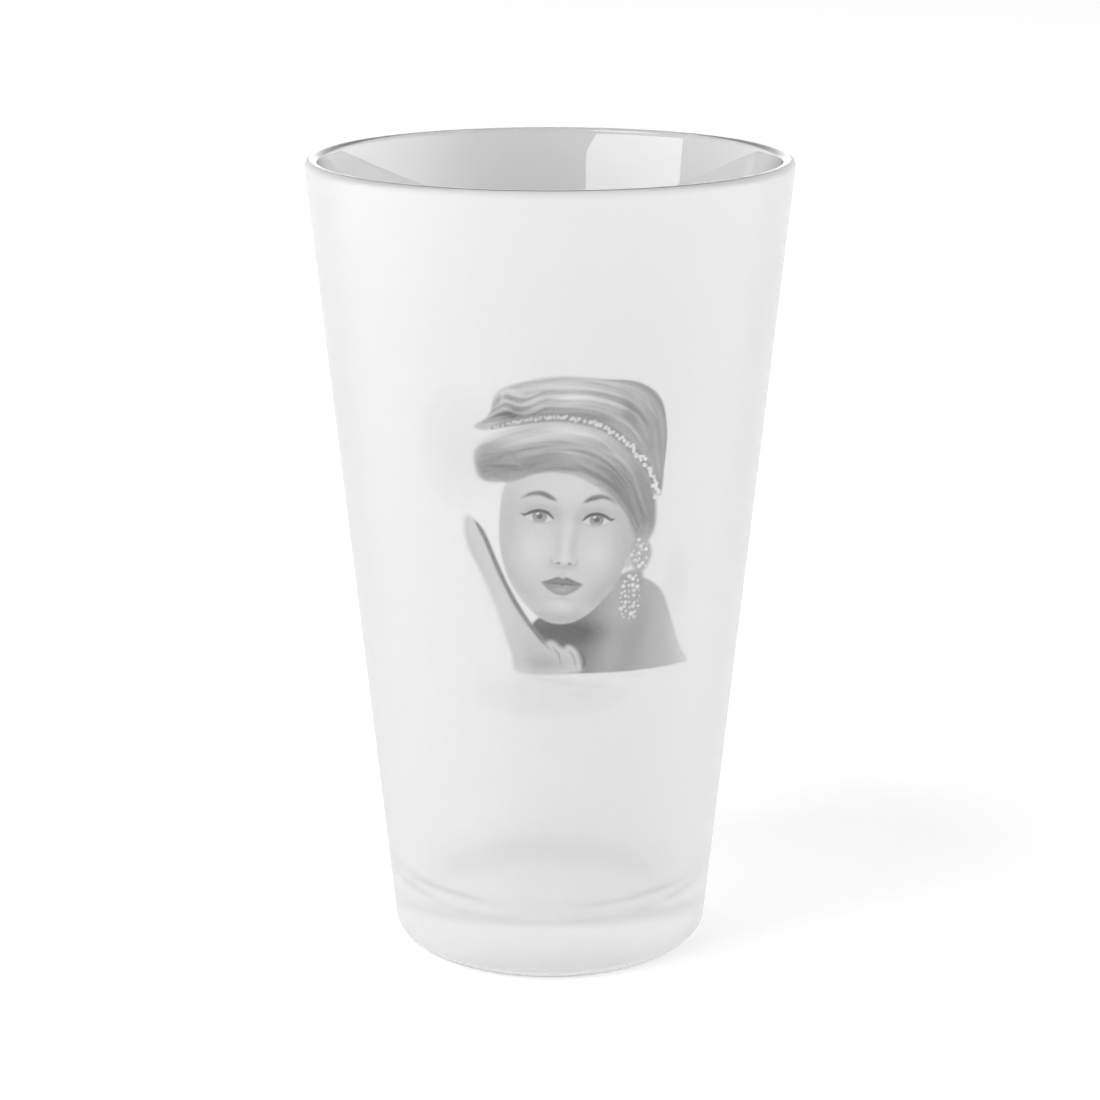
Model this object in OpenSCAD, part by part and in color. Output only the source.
// Straight-sided pint glass: one pressed glass moulding, a thin frosted coat
// on its outer wall, and a portrait printed in one ink on the front of the coat.
// Millimetres, +Z up, origin at the centre of the ring the glass stands on.
// The front of the glass, with the print, faces -Y.

/* [Glass body] */
// Height from the table to the top of the lip
height = 149.2; // [125:0.1:180]
// Widest diameter, across the outside of the lip
rim_d = 88.9; // [74:0.1:107]
// Diameter across the heel, where the wall starts
base_d = 60.3; // [50:0.1:73]
// Thickness of the wall at the lip, which is fully rounded
lip_t = 2.5; // [2:0.1:4]
// Thickness of the wall just above the floor
foot_wall_t = 5.8; // [4:0.1:7]
// Height of the floor of the bowl above the table
floor_z = 9.5; // [6:0.1:16]
// Radius of the fillet between the floor and the wall
floor_fillet_r = 8; // [3:0.1:10]
// Radius of the rounded heel
heel_r = 2.5; // [1.5:0.1:4]
// Width of the flat ring that the glass stands on
ring_w = 4; // [2:0.1:6]
// Depth of the shallow dome pressed into the underside
punt_h = 1.2; // [0.5:0.1:2.5]

/* [Frosted coat] */
// Thickness of the coat
coat_t = 0.12; // [0.1:0.01:0.3]
// Height of the bare, clear band between the coat and the top of the lip
lip_band_h = 1.6; // [1.3:0.1:6]
// Height of the bare heel under the coat
heel_band_h = 2.8; // [2.5:0.1:8]

/* [Printed portrait] */
// Thickness of the ink
ink_t = 0.08; // [0.06:0.01:0.2]
// Height of the artwork, which sets its width too
print_h = 55; // [35:0.5:66]
// Height of the artwork's middle above the table
print_z = 89.5; // [70:0.5:100]
// Distance of the artwork's middle from the front centre line
print_x = 6; // [-8:0.5:8]

/* [Hidden] */
$fn = 128;

lip_r = lip_t / 2;
lip_c = [rim_d / 2 - lip_r, height - lip_r];
heel_c = [base_d / 2 - heel_r, heel_r];

// Outer wall: the straight line that touches the heel and lip arcs
outer_dir = lip_c - heel_c;
outer_a = atan2(outer_dir.y, outer_dir.x) - acos((heel_r - lip_r) / norm(outer_dir));
outer_n = [cos(outer_a), sin(outer_a)];
heel_p = heel_c + heel_r * outer_n;
lip_out_p = lip_c + lip_r * outer_n;

// Radius of the outer wall at height z
function wall_r(z) = heel_p.x + (z - heel_p.y) * (lip_out_p.x - heel_p.x) / (lip_out_p.y - heel_p.y);

// Point on the outer wall at height z, moved outwards by off
function wall_p(z, off) = [wall_r(z), z] + off * outer_n;

// Inner wall: the straight line that touches the lip arc and the floor fillet
fillet_z = floor_z + floor_fillet_r;
fillet_c = [wall_r(fillet_z) - foot_wall_t - floor_fillet_r, fillet_z];
inner_dir = lip_c - fillet_c;
inner_a = atan2(inner_dir.y, inner_dir.x) + acos(-(floor_fillet_r + lip_r) / norm(inner_dir));
inner_n = [cos(inner_a), sin(inner_a)];
lip_in_p = lip_c + lip_r * inner_n;
fillet_p = fillet_c - floor_fillet_r * inner_n;

// Dome under the base
punt_r = heel_c.x - ring_w;
punt_sphere_r = (punt_r * punt_r + punt_h * punt_h) / (2 * punt_h);

// Artwork is drawn at this height and scaled to print_h
ART_H = 55;
art_k = print_h / ART_H;
// Room left round the glass for the cutter that trims the ink
trim_gap = 5;

// Half section of the glass body
module body_section() {
    difference() {
        union() {
            polygon([
                [0, 0],
                [heel_c.x, 0],
                heel_c,
                heel_p,
                lip_out_p,
                lip_c,
                lip_in_p,
                fillet_p,
                fillet_c,
                [fillet_c.x, floor_z],
                [0, floor_z]
            ]);
            translate(heel_c) circle(r = heel_r);
            translate(lip_c) circle(r = lip_r);
        }
        translate(fillet_c) circle(r = floor_fillet_r);
        translate([0, punt_h - punt_sphere_r]) circle(r = punt_sphere_r);
    }
}

// Tapered skin on the outer wall from z_low to z_high, standing t proud of off
module wall_skin(z_low, z_high, off, t) {
    rotate_extrude()
        polygon([
            wall_p(z_low, off),
            wall_p(z_low, off + t),
            wall_p(z_high, off + t),
            wall_p(z_high, off)
        ]);
}

// Outline of the artwork, drawn round its middle: swept-up hair with a curl at the
// left, a face, the forearm it leans on, a drop earring and bare shoulders
module portrait_outline() {
    translate([-1.5, 11]) circle(r = 16.5);
    translate([-12, 18.5]) circle(r = 6);
    translate([-4.5, -3.5]) circle(r = 13);
    translate([9.5, -6]) circle(r = 3.5);
    polygon([[-21, 1.5], [-17, -15.5], [-12, -27.5], [-1, -27.5], [-4, -12], [-17, 4]]);
    polygon([[-2, -27.5], [19.5, -27.5], [16.5, -17.5], [12.5, -12], [9, -6], [-2, -10]]);
}

module glass_body() {
    color("azure", 0.35)
        rotate_extrude()
            intersection() {
                body_section();
                square([rim_d, height]);
            }
}

module frost_coating() {
    color("ghostwhite", 0.8)
        wall_skin(heel_band_h, height - lip_band_h, 0, coat_t);
}

module portrait_print() {
    color("dimgray")
        intersection() {
            wall_skin(print_z - print_h, print_z + print_h, coat_t, ink_t);
            translate([print_x, 0, print_z])
                rotate([90, 0, 0])
                    linear_extrude(rim_d / 2 + trim_gap)
                        scale(art_k)
                            portrait_outline();
        }
}

glass_body();
frost_coating();
portrait_print();
